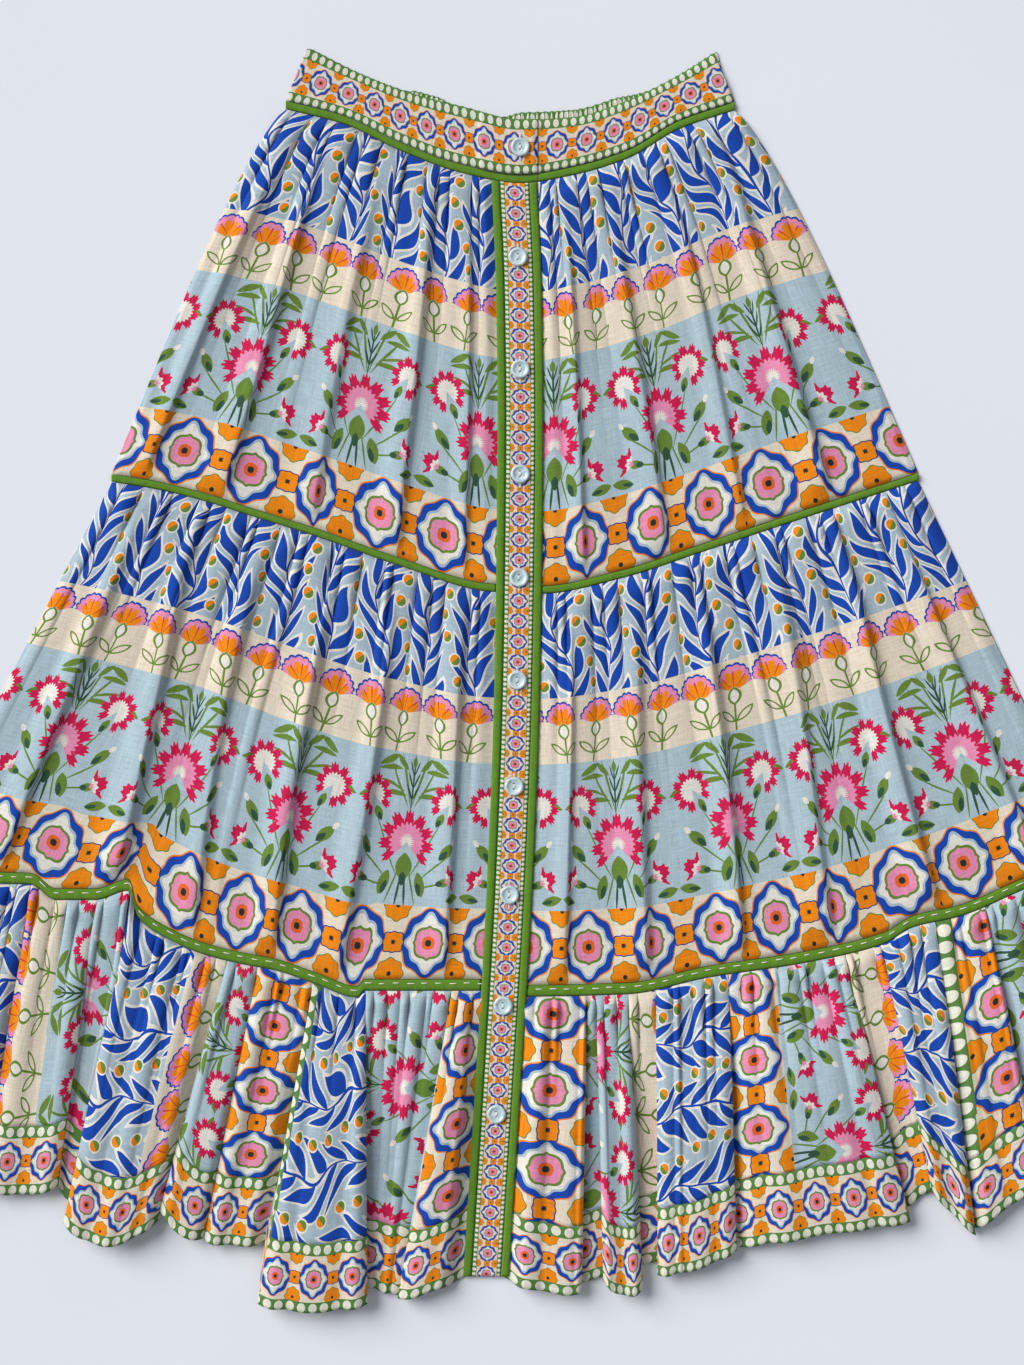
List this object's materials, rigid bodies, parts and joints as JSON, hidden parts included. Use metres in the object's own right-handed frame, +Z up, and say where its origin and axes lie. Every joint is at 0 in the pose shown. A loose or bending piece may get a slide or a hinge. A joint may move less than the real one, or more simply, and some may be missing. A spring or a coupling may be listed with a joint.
{
  "type": "maxi skirt",
  "caption": "Tiered button-through maxi skirt laid flat, with gathered panels, green piping, an elastic back waistband and a bordered hem.",
  "frame": {"origin": "middle of the footprint on the surface that the skirt lies on", "axes": "+X across the skirt towards the right of somebody looking down at it, +Y from the hem towards the waist, +Z up out of the front"},
  "size_m": [1.237, 1.0682, 0.0127],
  "materials": {
    "printed_cloth": "printed slubby linen and cotton plain weave",
    "border_cloth": "medallion border print on plain weave",
    "green_piping": "plain dyed cotton binding",
    "button": "pearly polyester"
  },
  "bodies": {
    "root": {"button_0": "button", "button_1": "button", "button_2": "button", "button_3": "button", "button_4": "button", "button_5": "button", "button_6": "button", "button_7": "button", "button_8": "button", "button_9": "button", "button_stand": "printed_cloth", "hem_band_back": "border_cloth", "hem_band_front_left": "border_cloth", "hem_band_front_right": "border_cloth", "placket_band": "border_cloth", "placket_binding_left": "green_piping", "placket_binding_right": "green_piping", "tier_1_back": "printed_cloth", "tier_1_front_left": "printed_cloth", "tier_1_front_right": "printed_cloth", "tier_1_piping_back": "green_piping", "tier_1_piping_front_left": "green_piping", "tier_1_piping_front_right": "green_piping", "tier_2_back": "printed_cloth", "tier_2_front_left": "printed_cloth", "tier_2_front_right": "printed_cloth", "tier_2_piping_back": "green_piping", "tier_2_piping_front_left": "green_piping", "tier_2_piping_front_right": "green_piping", "tier_3_back": "printed_cloth", "tier_3_front_left": "printed_cloth", "tier_3_front_right": "printed_cloth", "waist_piping_back": "green_piping", "waist_piping_front_left": "green_piping", "waist_piping_front_right": "green_piping", "waistband_back": "border_cloth", "waistband_front_left": "border_cloth", "waistband_front_right": "border_cloth"}
  },
  "joints": []
}
